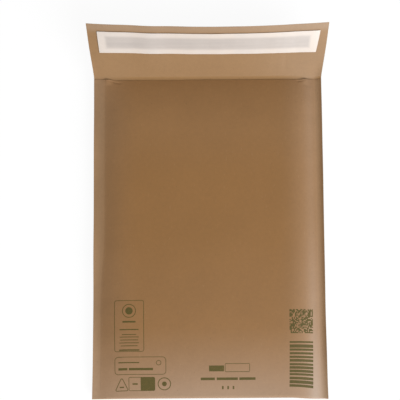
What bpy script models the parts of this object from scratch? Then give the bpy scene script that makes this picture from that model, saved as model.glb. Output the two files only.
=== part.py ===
"""Padded paper envelope, empty and open, lying on its back panel.

Run it with: blender --background --python part.py

+X runs across the envelope, +Y from the bottom fold towards the flap, +Z up from the table.
The origin is the middle of the body's back face. Metres throughout.

One kraft sheet makes the front panel, the bottom fold, the back panel and the flap. A fluted paper
web and an inner liner follow the same fold inside it, and a bead of glue closes each side seam.
The flap carries a band of adhesive under a release strip.
"""

import math

import bpy
import numpy as np

# The outer wrap as it is cut: the body is this wide and long, and the flap is a plain extension of it
BODY_WIDTH = 0.200
BODY_LENGTH = 0.275
FLAP_LENGTH = 0.050
SEAM_WIDTH = 0.0062  # the flat flange down each side, where front and back are glued

# Sheets and layers
WRAP_SHEET = 0.0002
LINER_SHEET = 0.00015
LAYER_GAP = 0.0002  # clearance between two sheets that touch
PAD_THICKNESS = 0.0026  # height over the flutes of the padding
PAD_SHEET = 0.00025  # paper of the fluted web
FLUTE_PITCH = 0.0065
SEAM_GLUE = 0.0003  # thickness of the bead in each side seam
SEAM_GLUE_WIDTH = 0.0042
SEAM_GLUE_END = 0.005  # the bead stops this short of the fold and of the mouth

# How far the pocket stands open between the two liners
FOLD_GAPE = 0.0010
POCKET_GAPE = 0.0080
MOUTH_GAPE = 0.0050
BOTTOM_RISE = 0.085  # length over which the front rises from the bottom fold
MOUTH_FALL = 0.045  # length over which it comes down again, ever more steeply, to the mouth
MOUTH_LIFT = 0.0036  # how far the back curls up off the table over that length

# Puffed sides: how wide the slope beside each seam is, how high each seam hangs above the table, and
# how far the seam's outer edge is raised above its inner one
LEFT_SLOPE = 0.0245
RIGHT_SLOPE = 0.0325
LEFT_SEAM_HEIGHT = 0.0088
RIGHT_SEAM_HEIGHT = 0.0044
LEFT_SEAM_LIFT = 0.0010
RIGHT_SEAM_LIFT = 0.0006
SLOPE_POWER = 2.2  # 1 is a straight ramp, more is rounder
NECK_IN = 0.0017  # how much each side draws in where the body is fully puffed
MOUTH_BOW = 0.0014  # how far the middle of the front's mouth edge draws back
PUCKER_DEPTH = 0.0016  # how much further it draws back where the puffed part meets each side's slope
PUCKER_PLACE = 0.0125  # from the seam's inner edge
PUCKER_WIDTH = 0.0045

# Flap, raised off the table at a soft crease
CREASE_RADIUS = 0.0025
FLAP_ANGLE_LEFT = math.radians(46.8)
FLAP_ANGLE_MIDDLE = math.radians(52.3)
FLAP_ANGLE_RIGHT = math.radians(44.9)
CREASE_SETBACK = 0.0006  # length of back panel between the mouth line and the crease
FLAP_SETTLE = 0.022  # length over which the curve of the mouth dies out and the flap becomes straight

# Closure on the flap: the strip is placed from the flap's edges, and the adhesive from the strip's
STRIP_SHEET = 0.00012
STRIP_WIDTH = 0.0187
STRIP_EDGE = 0.0066
STRIP_SIDE_LEFT = 0.0082
STRIP_SIDE_RIGHT = 0.0066
STRIP_END_SLANT = 0.0016  # the right-hand end of the strip is cut askew by this much
ADHESIVE_THICKNESS = 0.00015
ADHESIVE_WIDTH = 0.0106
ADHESIVE_EDGE = 0.0026
ADHESIVE_SIDE = 0.0063

# How far the padding and the liner stop short of the wrap's edges
PAD_SIDE_INSET = 0.0025  # from the inner edge of the seam
PAD_MOUTH_INSET = 0.020
MOUTH_BORDER = 0.004  # past the padding's end the liner comes down on the wrap, to lie flat on it here
LINER_SIDE_INSET = 0.0010  # from the outer edge of the seam
LINER_MOUTH_INSET = 0.0005

# Colours
KRAFT = (0.292, 0.158, 0.068)
LINER_KRAFT = (0.335, 0.195, 0.092)
PAD_KRAFT = (0.310, 0.180, 0.085)
GLUE = (0.620, 0.560, 0.420)
ADHESIVE = (0.560, 0.520, 0.470)
RELEASE_PAPER = (0.740, 0.690, 0.640)

# Worked out from the sizes above
SEAM_WALL = WRAP_SHEET + LAYER_GAP + LINER_SHEET
FULL_WALL = WRAP_SHEET + LAYER_GAP + PAD_THICKNESS + LAYER_GAP + LINER_SHEET
SEAM_DEPTH = 2 * (SEAM_WALL + LAYER_GAP) + SEAM_GLUE
FOLD_DEPTH = 2 * FULL_WALL + FOLD_GAPE
BODY_DEPTH = 2 * FULL_WALL + POCKET_GAPE
MOUTH_DEPTH = 2 * SEAM_WALL + MOUTH_GAPE
FOLD_RISE = (FOLD_DEPTH - SEAM_DEPTH) / 2
STRIP_TOP = FLAP_LENGTH - STRIP_EDGE
STRIP_BOTTOM = STRIP_TOP - STRIP_WIDTH
ADHESIVE_TOP = STRIP_TOP - ADHESIVE_EDGE
ADHESIVE_BOTTOM = ADHESIVE_TOP - ADHESIVE_WIDTH

# Rows of the grid along the body, as distances from the bottom fold
BOTTOM_ROWS = (0.0, 0.11, 0.27, 0.49, 0.75, 1.0)  # shares of BOTTOM_RISE
FALL_ROW = 0.3  # share of MOUTH_FALL
SLOPE_COLUMNS = (0.08, 0.2, 0.36, 0.55, 0.77, 1.0)  # shares of a side's slope
FLAT_COLUMNS = 4
TURN_STEPS = 6
CREASE_STEPS = 3
SETTLE_ROWS = (0.35, 0.65, 1.0)  # shares of FLAP_SETTLE
FLAP_SEAM_ROWS = (STRIP_BOTTOM, ADHESIVE_BOTTOM, ADHESIVE_TOP, STRIP_TOP)


def ease_out(t):
    """0 to 1, steep at the start and level at the end."""
    return 1 - (1 - np.clip(t, 0.0, 1.0)) ** SLOPE_POWER


def fullness(v):
    """Share of the full depth that the body has at v from the bottom fold, leaving the mouth aside."""
    return (FOLD_DEPTH + (BODY_DEPTH - FOLD_DEPTH) * ease_out(v / BOTTOM_RISE)) / BODY_DEPTH


def mouth_share(v):
    """0 up to where the front starts to fall, and 1 at the mouth."""
    return np.clip(1 - (BODY_LENGTH - v) / MOUTH_FALL, 0.0, 1.0) ** 2


def depth(v):
    """Thickness of the puffed body over its flat middle."""
    return BODY_DEPTH * fullness(v) - (BODY_DEPTH - MOUTH_DEPTH) * mouth_share(v)


def half_width(v):
    """Half the width seen from above. The sides draw in as the body puffs up."""
    return BODY_WIDTH / 2 - NECK_IN * fullness(v) ** 2


def puff(x, v):
    """0 on the side seams, rising to 1 over the flat middle."""
    slope = np.where(x < 0, LEFT_SLOPE, RIGHT_SLOPE)
    return ease_out((half_width(v) - SEAM_WIDTH - np.abs(x)) / slope)


def half_depth(x, v):
    """Half the thickness of the whole envelope at a point."""
    return SEAM_DEPTH / 2 + (depth(v) - SEAM_DEPTH) / 2 * puff(x, v)


def middle_height(x, v):
    """Height of the surface halfway between front and back. Each seam slants up to its outer edge."""
    out = np.clip(1 - (half_width(v) - np.abs(x)) / SEAM_WIDTH, 0.0, 1.0)
    lift = np.where(x < 0, LEFT_SEAM_LIFT, RIGHT_SEAM_LIFT) * out
    seam = (np.where(x < 0, LEFT_SEAM_HEIGHT, RIGHT_SEAM_HEIGHT) + lift) * fullness(v)
    return seam + (depth(v) / 2 + MOUTH_LIFT * mouth_share(v) - seam) * puff(x, v)


def mouth_bow(x, v):
    """How far the front's rows draw back from the mouth: most in the middle, with a pucker by each seam."""
    place = half_width(v) - SEAM_WIDTH - PUCKER_PLACE
    pucker = PUCKER_DEPTH * np.exp(-(((np.abs(x) - place) / PUCKER_WIDTH) ** 2))
    return MOUTH_BOW * puff(x, v) * (v / BODY_LENGTH) ** 2 + pucker * mouth_share(v)


def pad_space(x, v):
    """Room between wrap and liner. The padding is crushed towards the seams and stops before the mouth."""
    rise = np.minimum((half_depth(x, v) - SEAM_DEPTH / 2) / FOLD_RISE, 1.0)
    end = np.clip((BODY_LENGTH - v - MOUTH_BORDER) / (PAD_MOUTH_INSET - MOUTH_BORDER), 0.0, 1.0)
    return LAYER_GAP + (PAD_THICKNESS + LAYER_GAP) * rise * end


def body_columns(v, side_inset=0.0):
    """Places across the body at v, closer together on the slopes. side_inset is measured from the edge."""
    half = float(half_width(v))
    sides = []
    for slope in (LEFT_SLOPE, RIGHT_SLOPE):
        inner = half - SEAM_WIDTH
        sides.append([half - side_inset, inner] + [inner - slope * share for share in SLOPE_COLUMNS])
    left, right = sides
    middle = np.linspace(-left[-1], right[-1], FLAT_COLUMNS + 1)
    return np.concatenate([-np.array(left), middle[1:-1], np.array(right[::-1])])


def body_rows(mouth_inset=0.0):
    """Places along the body up to mouth_inset short of the mouth, closer together where it changes."""
    bottom = [BOTTOM_RISE * share for share in BOTTOM_ROWS]
    closing = (PAD_MOUTH_INSET + MOUTH_BORDER) / 2
    insets = [MOUTH_FALL, MOUTH_FALL * (1 - FALL_ROW), PAD_MOUTH_INSET, closing, MOUTH_BORDER]
    mouth = [BODY_LENGTH - inset for inset in sorted(insets, reverse=True) if inset > mouth_inset]
    middle = (bottom[-1] + mouth[0]) / 2
    return bottom + [middle] + mouth + [BODY_LENGTH - mouth_inset]


def panel_row(x, v, depth_in, side):
    """Points across one panel: side is 1 for the front and -1 for the back, depth_in from the outer face."""
    turn = half_depth(x, 0.0)
    bow = mouth_bow(x, v) if side > 0 else 0.0
    y = -BODY_LENGTH / 2 + turn + (BODY_LENGTH - turn) * v / BODY_LENGTH - bow
    z = middle_height(x, v) + side * (half_depth(x, v) - depth_in)
    return np.column_stack([x, y, z])


def turn_row(x, angle, depth_in):
    """Points across the bottom fold, a half turn about the fold's own middle."""
    turn = half_depth(x, 0.0)
    radius = turn - depth_in
    y = -BODY_LENGTH / 2 + turn - radius * math.cos(angle)
    z = middle_height(x, 0.0) + radius * math.sin(angle)
    return np.column_stack([x, y, z])


def folded_rows(rows, columns, depth_in):
    """A sheet's rows of points: down the front from the mouth, round the bottom fold and up the back.

    columns(v) gives the places across at v, and depth_in(x, v) how far the sheet lies inside the wrap.
    """
    points = []
    for v in reversed(rows):
        x = columns(v)
        points.append(panel_row(x, v, depth_in(x, v), 1))
    x = columns(0.0)
    for angle in np.linspace(math.pi / 2, -math.pi / 2, TURN_STEPS + 1)[1:-1]:
        points.append(turn_row(x, float(angle), depth_in(x, 0.0)))
    for v in rows:
        x = columns(v)
        points.append(panel_row(x, v, depth_in(x, v), -1))
    return points


def flap_angle(share):
    """Angle of the flap above the table: share runs from -1 at the left edge to 1 at the right."""
    edge = np.where(share < 0, FLAP_ANGLE_LEFT, FLAP_ANGLE_RIGHT)
    return edge + (FLAP_ANGLE_MIDDLE - edge) * (1 - share**2)


def back_edge(x, inset):
    """Points across the back's sheet, an inset short of the mouth."""
    return panel_row(x, BODY_LENGTH - inset, WRAP_SHEET / 2, -1)


def flap_row(share, along, lift=0.0):
    """Points across the flap at a distance along it from the crease, lifted off its middle surface.

    It leaves the back at the back's own slope there. The crease is an arc of CREASE_RADIUS, and past it
    the flap is straight along its length. Its rows become straight across over FLAP_SETTLE.
    """
    x = share * half_width(BODY_LENGTH)
    start = back_edge(x, 0.0)
    before = back_edge(x, CREASE_RADIUS)
    slope = np.arctan2(start[:, 2] - before[:, 2], start[:, 1] - before[:, 1])
    angle = flap_angle(share)
    turned = slope + np.minimum(along / CREASE_RADIUS, angle - slope)
    straight = np.maximum(along - CREASE_RADIUS * (angle - slope), 0.0)
    y = CREASE_SETBACK * np.cos(slope) + CREASE_RADIUS * (np.sin(turned) - np.sin(slope))
    z = CREASE_SETBACK * np.sin(slope) + CREASE_RADIUS * (np.cos(slope) - np.cos(turned))
    corners = back_edge(np.array([-1.0, 1.0]) * half_width(BODY_LENGTH), 0.0)[:, 2]
    chord = corners[0] + (corners[1] - corners[0]) * (share + 1) / 2
    settled = min(along / FLAP_SETTLE, 1.0)
    z = z + (chord - start[:, 2]) * settled * settled * (3 - 2 * settled)
    y = y + straight * np.cos(angle) - lift * np.sin(turned)
    z = z + straight * np.sin(angle) + lift * np.cos(turned)
    return start + np.column_stack([x * 0, y, z])


def flap_shares(left_inset, right_inset):
    """Places across the flap, as shares of its half width, cut off at the given distances from its edges."""
    half = float(half_width(BODY_LENGTH))
    across = body_columns(BODY_LENGTH)
    left, right = -half + left_inset, half - right_inset
    inside = across[(across > left + SEAM_GLUE) & (across < right - SEAM_GLUE)]
    return np.concatenate([[left], inside, [right]]) / half


def material(name, colour, roughness):
    made = bpy.data.materials.new(name)
    made.use_nodes = True
    shader = made.node_tree.nodes["Principled BSDF"]
    shader.inputs["Base Color"].default_value = (*colour, 1.0)
    shader.inputs["Roughness"].default_value = roughness
    shader.inputs["Metallic"].default_value = 0.0
    made.diffuse_color = (*colour, 1.0)
    return made


def sheet(name, rows, thickness, finish, parent):
    """A sheet of that thickness through a grid of points, its faces towards the first row's outside."""
    width = len(rows[0])
    faces = [
        (r * width + c, (r + 1) * width + c, (r + 1) * width + c + 1, r * width + c + 1)
        for r in range(len(rows) - 1)
        for c in range(width - 1)
    ]
    mesh = bpy.data.meshes.new(name)
    mesh.from_pydata([tuple(p) for p in np.concatenate(rows)], [], faces)
    mesh.materials.append(finish)
    mesh.shade_smooth()
    mesh.set_sharp_from_angle(angle=math.radians(40))
    made = bpy.data.objects.new(name, mesh)
    bpy.context.scene.collection.objects.link(made)
    made.parent = parent
    solidify = made.modifiers.new("paper thickness", "SOLIDIFY")
    solidify.thickness = thickness
    solidify.offset = 0.0
    solidify.use_even_offset = True
    return made


def outer_wrap(finish, parent):
    """The kraft sheet: front, bottom fold, back and flap in one."""
    rows = folded_rows(body_rows(), body_columns, lambda x, v: WRAP_SHEET / 2)
    share = body_columns(BODY_LENGTH) / float(half_width(BODY_LENGTH))
    bend = CREASE_RADIUS * FLAP_ANGLE_MIDDLE
    crease = [bend * step / CREASE_STEPS for step in range(CREASE_STEPS + 1)]
    settle = [FLAP_SETTLE * step for step in SETTLE_ROWS]
    for along in [*crease, *sorted([*settle, *FLAP_SEAM_ROWS]), FLAP_LENGTH]:
        rows.append(flap_row(share, along))
    return sheet("outer_wrap", rows, WRAP_SHEET, finish, parent)


def inner_liner(finish, parent):
    """The liner sheet inside the padding, glued into the side seams."""
    rows = folded_rows(
        body_rows(LINER_MOUTH_INSET),
        lambda v: body_columns(v, LINER_SIDE_INSET),
        lambda x, v: WRAP_SHEET + pad_space(x, v) + LINER_SHEET / 2,
    )
    return sheet("inner_liner", rows, LINER_SHEET, finish, parent)


def fluted_padding(finish, parent):
    """The padding: one paper web with flutes along the envelope, from seam to seam, folded at the bottom.

    It runs in straight legs between crests that touch the wrap and troughs that touch the liner.
    """
    flutes = round((BODY_WIDTH - 2 * SEAM_WIDTH) / FLUTE_PITCH)
    places = 2 * flutes + 1
    trough = np.arange(places) % 2

    def columns(v):
        half = float(half_width(v)) - SEAM_WIDTH - PAD_SIDE_INSET
        return np.linspace(-half, half, places)

    def follow(values_at, x, v):
        """The value that the wrap's own facets have at x."""
        across = body_columns(v)
        return np.interp(x, across, values_at(across, v))

    def depth_in(x, v):
        room = follow(pad_space, x, v) - 2 * LAYER_GAP - PAD_SHEET
        facets = follow(half_depth, x, v) - half_depth(x, v)
        return WRAP_SHEET + LAYER_GAP + PAD_SHEET / 2 + room * trough - facets

    rows = folded_rows(body_rows(PAD_MOUTH_INSET), columns, depth_in)
    return sheet("fluted_padding", rows, PAD_SHEET, finish, parent)


def seam_glue(name, side, finish, parent):
    """The bead of glue between the two liners in one side seam: side is -1 for the left."""
    ends = (SEAM_GLUE_END, BODY_LENGTH - SEAM_GLUE_END)
    inside = [v for v in body_rows() if ends[0] < v < ends[1]]
    rows = []
    for v in [ends[0], *inside, ends[1]]:
        centre = float(half_width(v)) - SEAM_WIDTH / 2
        across = np.array([centre - SEAM_GLUE_WIDTH / 2, centre + SEAM_GLUE_WIDTH / 2])
        x = np.sort(side * across)
        front = panel_row(x, v, 0.0, 1)
        back = panel_row(x, v, 0.0, -1)
        rows.append((front + back) / 2)
    return sheet(name, rows, SEAM_GLUE, finish, parent)


def flap_band(name, ends, sides, slant, lift, thickness, finish, parent):
    """A band lying on the flap: ends along the flap, sides in from its edges, its right end slanted."""
    rows = []
    for along, extra in zip(ends, (slant, 0.0)):
        rows.append(flap_row(flap_shares(sides[0], sides[1] + extra), along, lift))
    return sheet(name, rows, thickness, finish, parent)


def closure(adhesive_finish, paper_finish, parent):
    """The adhesive on the flap's inner face, and the release strip over it."""
    adhesive_lift = WRAP_SHEET / 2 + LAYER_GAP + ADHESIVE_THICKNESS / 2
    strip_lift = adhesive_lift + ADHESIVE_THICKNESS / 2 + LAYER_GAP + STRIP_SHEET / 2
    flap_band(
        "flap_adhesive",
        (ADHESIVE_BOTTOM, ADHESIVE_TOP),
        (STRIP_SIDE_LEFT + ADHESIVE_SIDE, STRIP_SIDE_RIGHT + STRIP_END_SLANT + ADHESIVE_SIDE),
        0.0,
        adhesive_lift,
        ADHESIVE_THICKNESS,
        adhesive_finish,
        parent,
    )
    flap_band(
        "release_strip",
        (STRIP_BOTTOM, STRIP_TOP),
        (STRIP_SIDE_LEFT, STRIP_SIDE_RIGHT),
        STRIP_END_SLANT,
        strip_lift,
        STRIP_SHEET,
        paper_finish,
        parent,
    )


def main():
    for old in list(bpy.data.objects):
        bpy.data.objects.remove(old, do_unlink=True)
    envelope = bpy.data.objects.new("padded_envelope", None)
    bpy.context.scene.collection.objects.link(envelope)
    outer_wrap(material("kraft paper", KRAFT, 0.75), envelope)
    inner_liner(material("liner paper", LINER_KRAFT, 0.85), envelope)
    fluted_padding(material("padding paper", PAD_KRAFT, 0.9), envelope)
    glue = material("seam glue", GLUE, 0.5)
    seam_glue("left_seam_glue", -1, glue, envelope)
    seam_glue("right_seam_glue", 1, glue, envelope)
    closure(material("flap adhesive", ADHESIVE, 0.35), material("release paper", RELEASE_PAPER, 0.4), envelope)


main()
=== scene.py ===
"""Padded kraft envelope: its papers, its print and the studio that it is seen in.

The envelope lies on its back with its flap raised. Every paper is made again here on a finer grid than
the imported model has, from the same sizes, with the small swells, puckers and pressed seams of real
paper. All lengths are in metres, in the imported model's own frame.
"""

import math

import bpy
import numpy as np
from bpy.props import FloatProperty, FloatVectorProperty, IntProperty, PointerProperty
from mathutils import Matrix, Vector


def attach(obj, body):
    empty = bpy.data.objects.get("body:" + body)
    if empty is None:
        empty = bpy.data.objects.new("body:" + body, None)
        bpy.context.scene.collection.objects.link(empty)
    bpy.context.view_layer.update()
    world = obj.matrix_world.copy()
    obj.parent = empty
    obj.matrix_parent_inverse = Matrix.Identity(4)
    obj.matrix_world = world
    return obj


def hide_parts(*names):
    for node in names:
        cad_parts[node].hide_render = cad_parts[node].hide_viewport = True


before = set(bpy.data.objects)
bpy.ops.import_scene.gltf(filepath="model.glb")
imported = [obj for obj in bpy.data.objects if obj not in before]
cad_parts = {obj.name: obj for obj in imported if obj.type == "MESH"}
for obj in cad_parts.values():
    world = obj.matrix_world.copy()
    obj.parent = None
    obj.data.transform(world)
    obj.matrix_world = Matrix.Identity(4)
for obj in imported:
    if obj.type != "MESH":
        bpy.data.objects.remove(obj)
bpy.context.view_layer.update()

bl_info = {
    "name": "Padded envelope",
    "version": (1, 0, 0),
    "blender": (4, 5, 0),
    "location": "View3D > Sidebar > Envelope",
    "description": "Makes a padded kraft envelope: its papers, its print and a small studio",
    "category": "Object",
}

BODY = "root"
FULL_TURN = 2 * math.pi

# Seeds of the paper's unevenness
SEAM_SEED, SWELL_SEED, RIPPLE_SEED, PUCKER_SEED, FLAP_SEED, STRIP_SEED = 21, 3, 5, 8, 13, 17

# The fold at each end of the mouth: its side, how far from the middle it starts, how far it runs in and
# down, and how far from the middle the edge gapes
CORNER_FOLDS = ((-1, 0.0900, 0.0135, 0.0028, 0.0865), (1, 0.0875, 0.0095, 0.0015, 0.0835))
# How wide the gape at those folds is to each side, and how far down the front it goes
CORNER_GAPE_WIDTH, CORNER_GAPE_REACH = 0.0032, 0.005
# The flap's two soft creases: how far from the middle, and how they lean
FLAP_CREASES = ((0.0565, 0.05), (0.0660, -0.03))
# Half those creases' width, where they have died out, up the flap, and over what length
FLAP_CREASE_WIDTH, FLAP_CREASE_END, FLAP_CREASE_FADE = 0.0011, 0.027, 0.008
# Where the left seam starts to widen, up from the bottom, and over what length
LEFT_SEAM_START, LEFT_SEAM_GROWTH = 0.080, 0.060
# Where the bottom right corner starts to be pulled down, over what width, and how far up the body
CORNER_DROP_START, CORNER_DROP_WIDTH, CORNER_DROP_HEIGHT = 0.066, 0.028, 0.060
# Lengths over which the unevenness sets in past a fold and the flap flares, and of the flap's swells
ONSET, FLAP_FLARE_LENGTH, FLAP_SWELL_LENGTH = 0.012, 0.034, 0.034
# The release strip's waves off the adhesive: height and length
STRIP_WAVE, STRIP_WAVE_LENGTH = 0.00005, 0.021

# Rows of points round the bottom fold, and points across one flute of the padding
TURN_ROWS, STEPS_PER_FLUTE = 13, 6
# From one point to the next: round the flap's crease, up the flap, on the print, round its outlines, on
# the glue, and up and along the adhesive and the strip
CURL_STEP, FLAP_STEP, PRINT_STEP, OUTLINE_STEP, GLUE_STEP = 0.0004, 0.0012, 0.0015, 0.0012, 0.004
ADHESIVE_STEPS, STRIP_STEPS = (0.0013, 0.0016), (0.0008, 0.0012)
# Faces that meet at more than this do so at a cut edge
SHARP_ANGLE = math.radians(40)

# Wear along the bottom fold, the sides, the front's edge and the flap's edge: how much, and how wide
FOLD_WEAR, SIDE_WEAR, FRONT_WEAR, FLAP_WEAR = (0.55, 0.0022), (0.5, 0.00035), (0.3, 0.0005), (0.5, 0.0005)
# Widths over which the seams' pressed colour, which also paints some sheen on the flanges, and the band that
# shows through the strip fade out
SEAM_SOFT, BAND_SOFT = 0.0060, 0.0028
# Painted sheen, a pale whitish tone laid on where the soft box's reflection falls: on the front at the fold,
# low down, high up and by the left side, with how far it reaches; on the ridge by the right seam, at its
# lower end and on the slope beside it; and on the flap, all over, to its right and along its edge
FOLD_SHEEN, FOLD_SHEEN_REACH = 0.21, 0.060
LOW_SHEEN, HIGH_SHEEN = 0.015, 0.022
LEFT_SHEEN, LEFT_SHEEN_REACH = 0.055, 0.042
RIDGE_SHEEN, LOW_RIDGE_SHEEN, LOW_RIDGE_REACH, SLOPE_SHEEN = 0.09, 0.15, 0.150, 0.045
FLAP_SHEEN, FLAP_RIGHT_SHEEN, FLAP_EDGE_SHEEN = 0.075, 0.055, 0.13

# Half the floor's side, and how far it lies under the envelope
FLOOR_REACH, FLOOR_DROP = 3.0, 0.0003


def number(name, description, default, **more):
    """A plain number."""
    return FloatProperty(name=name, description=description, default=default, **more)


def length(name, description, default):
    """A size in metres."""
    return number(name, description, default, unit="LENGTH", precision=5)


def share(name, description, default):
    """A number from 0 to 1."""
    return number(name, description, default, min=0.0, max=1.0)


def degrees(name, description, default):
    """An angle, whose default is given in degrees."""
    return number(name, description, math.radians(default), subtype="ANGLE")


def position(name, description, default):
    """A place or a direction."""
    return FloatVectorProperty(name=name, description=description, default=default, subtype="XYZ")


def colour(name, description, default):
    """A linear colour."""
    return FloatVectorProperty(
        name=name, description=description, default=default, size=3, subtype="COLOR", min=0.0, max=1.0
    )


class EnvelopeSizes(bpy.types.PropertyGroup):
    """The envelope's own sizes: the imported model's, but with the empty mouth sagged nearly shut."""

    body_width: length("Body width", "Width of the outer sheet", 0.200)
    body_length: length("Body length", "From the bottom fold to the mouth", 0.275)
    flap_length: length("Flap length", "From the crease to the flap's edge", 0.0488)
    seam_width: length("Seam width", "Width of the flat flange down each side", 0.0062)
    left_seam_more: length("Left seam, more", "How much wider the left one is, away from the bottom", 0.0031)
    right_seam_less: length("Right seam, less", "How much narrower the right one is", 0.0006)
    left_seam_round: length("Left seam rounding", "How soft the line along the left seam is", 0.0038)
    right_seam_round: length("Right seam rounding", "How soft the line along the right seam is", 0.0042)
    wrap_sheet: length("Wrap", "Thickness of the outer kraft sheet", 0.0002)
    liner_sheet: length("Liner", "Thickness of the inner sheet", 0.00015)
    layer_gap: length("Layer gap", "Room between two sheets that touch", 0.0002)
    pad_thickness: length("Padding", "Height over the padding's flutes", 0.0026)
    pad_sheet: length("Padding paper", "Thickness of the fluted web", 0.00025)
    flute_pitch: length("Flute pitch", "From one flute to the next", 0.0065)
    seam_glue: length("Seam glue", "Thickness of the bead in each side seam", 0.0003)
    seam_glue_width: length("Seam glue width", "Width of that bead", 0.0042)
    seam_glue_end: length("Seam glue end", "How far the bead stops from the fold and the mouth", 0.005)
    fold_gape: length("Gape at the fold", "How far the pocket is open at the bottom fold", 0.0010)
    pocket_gape: length("Gape of the pocket", "How far the pocket is open in the middle", 0.0080)
    mouth_gape: length("Gape at the mouth", "How far the pocket is open at its mouth", 0.00005)
    bottom_rise: length("Bottom rise", "Length over which the front rises from the fold", 0.085)
    mouth_fall: length("Mouth fall", "Length over which it falls to the mouth", 0.045)
    mouth_lift: length("Mouth lift", "How far the back curls up off the table there", 0.0090)
    left_slope: length("Left slope", "Width of the puffed slope by the left seam", 0.0290)
    right_slope: length("Right slope", "Width of the puffed slope by the right seam", 0.0270)
    left_seam_height: length("Left seam height", "Height of the left seam above the table", 0.0094)
    right_seam_height: length("Right seam height", "Height of the right seam above the table", 0.0048)
    left_seam_lift: length("Left seam lift", "How far the left seam's edge is raised", 0.0004)
    right_seam_lift: length("Right seam lift", "How far the right seam's edge is raised", 0.0020)
    rise_power: number("Rise power", "Of the bottom: 1 is a straight ramp", 2.2)
    left_power: number("Left power", "Of the left slope: more is rounder", 2.4)
    right_power: number("Right power", "Of the right slope: more is rounder", 2.6)
    neck_in: length("Neck in", "How much each side draws in where the body is puffed", 0.0017)
    mouth_bow: length("Mouth bow", "How far the middle of the front's edge draws back", 0.0008)
    front_short: length("Front to crease", "How far the front's edge stops short of the crease", 0.0023)
    pucker_depth: length("Pucker depth", "How much further it draws back by each slope", 0.0002)
    pucker_place: length("Pucker place", "From the seam's inner edge", 0.0125)
    pucker_width: length("Pucker width", "Half the width of that pucker", 0.0045)
    crease_radius: length("Crease radius", "Radius of the flap's soft crease", 0.0039)
    crease_setback: length("Crease setback", "From the mouth line to the crease", 0.0001)
    flap_flare: length("Flap flare", "How much wider the flap gets to each side", 0.0007)
    flap_settle: length("Flap settle", "Length over which the mouth's curve dies out in the flap", 0.022)
    flap_angle_left: degrees("Flap angle, left", "Above the table", 44.6)
    flap_angle_middle: degrees("Flap angle, middle", "Above the table", 51.7)
    flap_angle_right: degrees("Flap angle, right", "Above the table", 42.4)
    strip_sheet: length("Strip", "Thickness of the release strip", 0.00012)
    strip_width: length("Strip width", "Width of the release strip", 0.0192)
    strip_edge: length("Strip to edge", "From the strip to the flap's edge", 0.0062)
    strip_side_left: length("Strip side, left", "From the strip's left end to the flap's side", 0.0082)
    strip_side_right: length("Strip side, right", "From the strip's right end to the side", 0.0066)
    strip_end_slant: length("Strip end slant", "How far askew the strip's right end is cut", 0.0016)
    adhesive_thickness: length("Adhesive", "Thickness of the adhesive", 0.00015)
    adhesive_width: length("Adhesive width", "Width of the adhesive band", 0.0106)
    adhesive_edge: length("Adhesive to strip", "From the adhesive to the strip's upper edge", 0.0042)
    adhesive_side: length("Adhesive side", "From the adhesive's ends to the strip's ends", 0.0063)
    pad_side_inset: length("Padding to seam", "How far the padding stops from the seam", 0.0025)
    pad_mouth_inset: length("Padding to mouth", "How far the padding stops from the mouth", 0.020)
    mouth_border: length("Mouth border", "Where the liner lies flat on the wrap at the mouth", 0.004)
    liner_side_inset: length("Liner to side", "How far the liner stops from the wrap's side", 0.0010)
    liner_mouth_inset: length("Liner to mouth", "How far the liner stops from the mouth", 0.0056)


class EnvelopeRelief(bpy.types.PropertyGroup):
    """How uneven the paper is."""

    swell: length("Swell", "Height of the broad swells in the front", 0.00008)
    swell_length: length("Swell length", "From one broad swell to the next", 0.060)
    ripple: length("Ripple", "Height of the small ripples", 0.000015)
    ripple_length: length("Ripple length", "From one small ripple to the next", 0.014)
    side_pucker: length("Side pucker", "Height of the puckers beside the seams", 0.00006)
    side_pucker_length: length("Side pucker length", "From one such pucker to the next", 0.019)
    seam_wave: length("Seam wave", "How far the flat seams rise and fall", 0.00025)
    seam_wave_length: length("Seam wave length", "From one wave of a seam to the next", 0.070)
    seam_groove: length("Seam groove", "Depth of the pressed line inside each seam", 0.00007)
    seam_groove_width: length("Seam groove width", "Half the width of that line", 0.0006)
    corner_fold: length("Corner fold", "Depth of the small fold at each end of the mouth", 0.00045)
    corner_fold_width: length("Corner fold width", "Half the width of that fold", 0.0006)
    corner_gape: length("Corner gape", "How far the front's edge gapes by that fold", 0.0010)
    corner_drop: length("Corner drop", "How far the bottom right corner is pulled down", 0.0014)
    flap_swell: length("Flap swell", "Height of the swells in the flap", 0.00012)
    flap_crease: length("Flap crease", "Depth of the two soft creases in the flap", 0.0002)


class EnvelopeColours(bpy.types.PropertyGroup):
    """The colours of the papers, glues and ink, as linear values."""

    kraft: colour("Kraft", "Outer kraft sheet", (0.239, 0.119, 0.039))
    inner_kraft: colour("Inner kraft", "The outer sheet's inner face", (0.252, 0.134, 0.047))
    # Pressed kraft: the seams' pressed tone, paler and greyer, which also paints some sheen on the flanges
    pressed_and_sheen_kraft: colour("Pressed kraft", "Kraft where the seams are pressed flat", (0.258, 0.143, 0.061))
    # Painted sheen: a pale greyish colour that stands in for the soft box's reflection on the kraft
    painted_sheen_kraft: colour("Rubbed kraft", "Pale bloom where the paper is rubbed", (0.520, 0.466, 0.415))
    worn_kraft: colour("Worn kraft", "Kraft along folds and cut edges", (0.330, 0.205, 0.110))
    liner: colour("Liner", "Inner sheet", (0.300, 0.165, 0.070))
    padding: colour("Padding", "Fluted web", (0.290, 0.160, 0.070))
    glue: colour("Glue", "Seam glue", (0.560, 0.480, 0.330))
    adhesive: colour("Adhesive", "Self-seal adhesive", (0.480, 0.440, 0.390))
    release: colour("Release paper", "Release strip", (0.585, 0.525, 0.480))
    release_warm: colour("Release paper, warm", "Where the strip is a little warmer", (0.60, 0.525, 0.465))
    release_band: colour("Band", "Release strip where the adhesive shows through", (0.425, 0.380, 0.350))
    ink: colour("Ink", "Printing ink", (0.075, 0.059, 0.013))


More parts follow.
